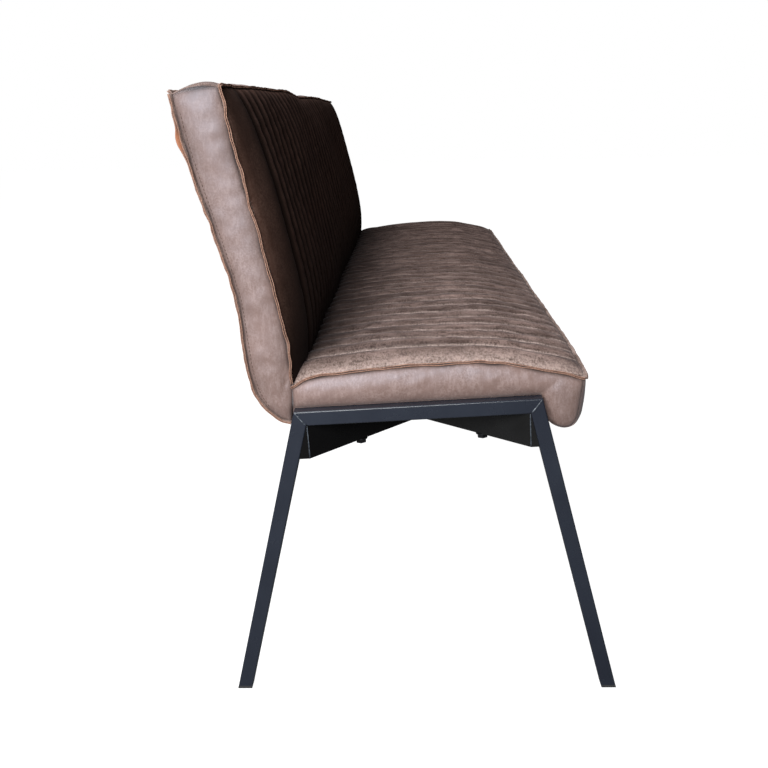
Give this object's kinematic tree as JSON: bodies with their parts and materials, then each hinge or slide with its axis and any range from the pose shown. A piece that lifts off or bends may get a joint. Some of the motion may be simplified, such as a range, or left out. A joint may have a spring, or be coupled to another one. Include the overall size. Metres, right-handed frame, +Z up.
{
  "type": "dining bench",
  "caption": "Dining bench with a back: leather seat and back sewn into narrow channels, carried on splayed square-tube steel end frames.",
  "frame": {"origin": "on the floor, under the middle of the bench's box", "axes": "+X along the bench, -Y to the front of the seat, +Z up"},
  "size_m": [1.6, 0.5692, 0.834],
  "materials": {
    "frame_steel": "satin black powder coat",
    "bracket_steel": "black painted flat bar",
    "zinc_steel": "zinc plated",
    "glide_plastic": "moulded black",
    "leather": "waxed vintage brown, worn on the ridges, raw edges left showing",
    "foam": "cut foam",
    "plywood": "bare birch plywood",
    "beech": "planed beech",
    "dust_cloth": "black spun lining cloth"
  },
  "bodies": {
    "root": {"back_board": "plywood", "back_brackets": "bracket_steel", "back_foam": "foam", "back_left_panel": "leather", "back_quilt": "leather", "back_rear_panel": "leather", "back_right_panel": "leather", "bolt_washers": "zinc_steel", "bracket_screws": "zinc_steel", "frame_bolts": "zinc_steel", "left_front_brace": "frame_steel", "left_front_glide": "glide_plastic", "left_front_leg": "frame_steel", "left_front_wedge": "frame_steel", "left_rear_brace": "frame_steel", "left_rear_glide": "glide_plastic", "left_rear_leg": "frame_steel", "left_rear_wedge": "frame_steel", "left_top_rail": "frame_steel", "right_front_brace": "frame_steel", "right_front_glide": "glide_plastic", "right_front_leg": "frame_steel", "right_front_wedge": "frame_steel", "right_rear_brace": "frame_steel", "right_rear_glide": "glide_plastic", "right_rear_leg": "frame_steel", "right_rear_wedge": "frame_steel", "right_top_rail": "frame_steel", "seat_batten": "beech", "seat_board": "plywood", "seat_dust_cloth": "dust_cloth", "seat_foam": "foam", "seat_front_panel": "leather", "seat_left_panel": "leather", "seat_quilt": "leather", "seat_right_panel": "leather", "seat_spine": "frame_steel", "tee_nuts": "zinc_steel"}
  },
  "joints": []
}
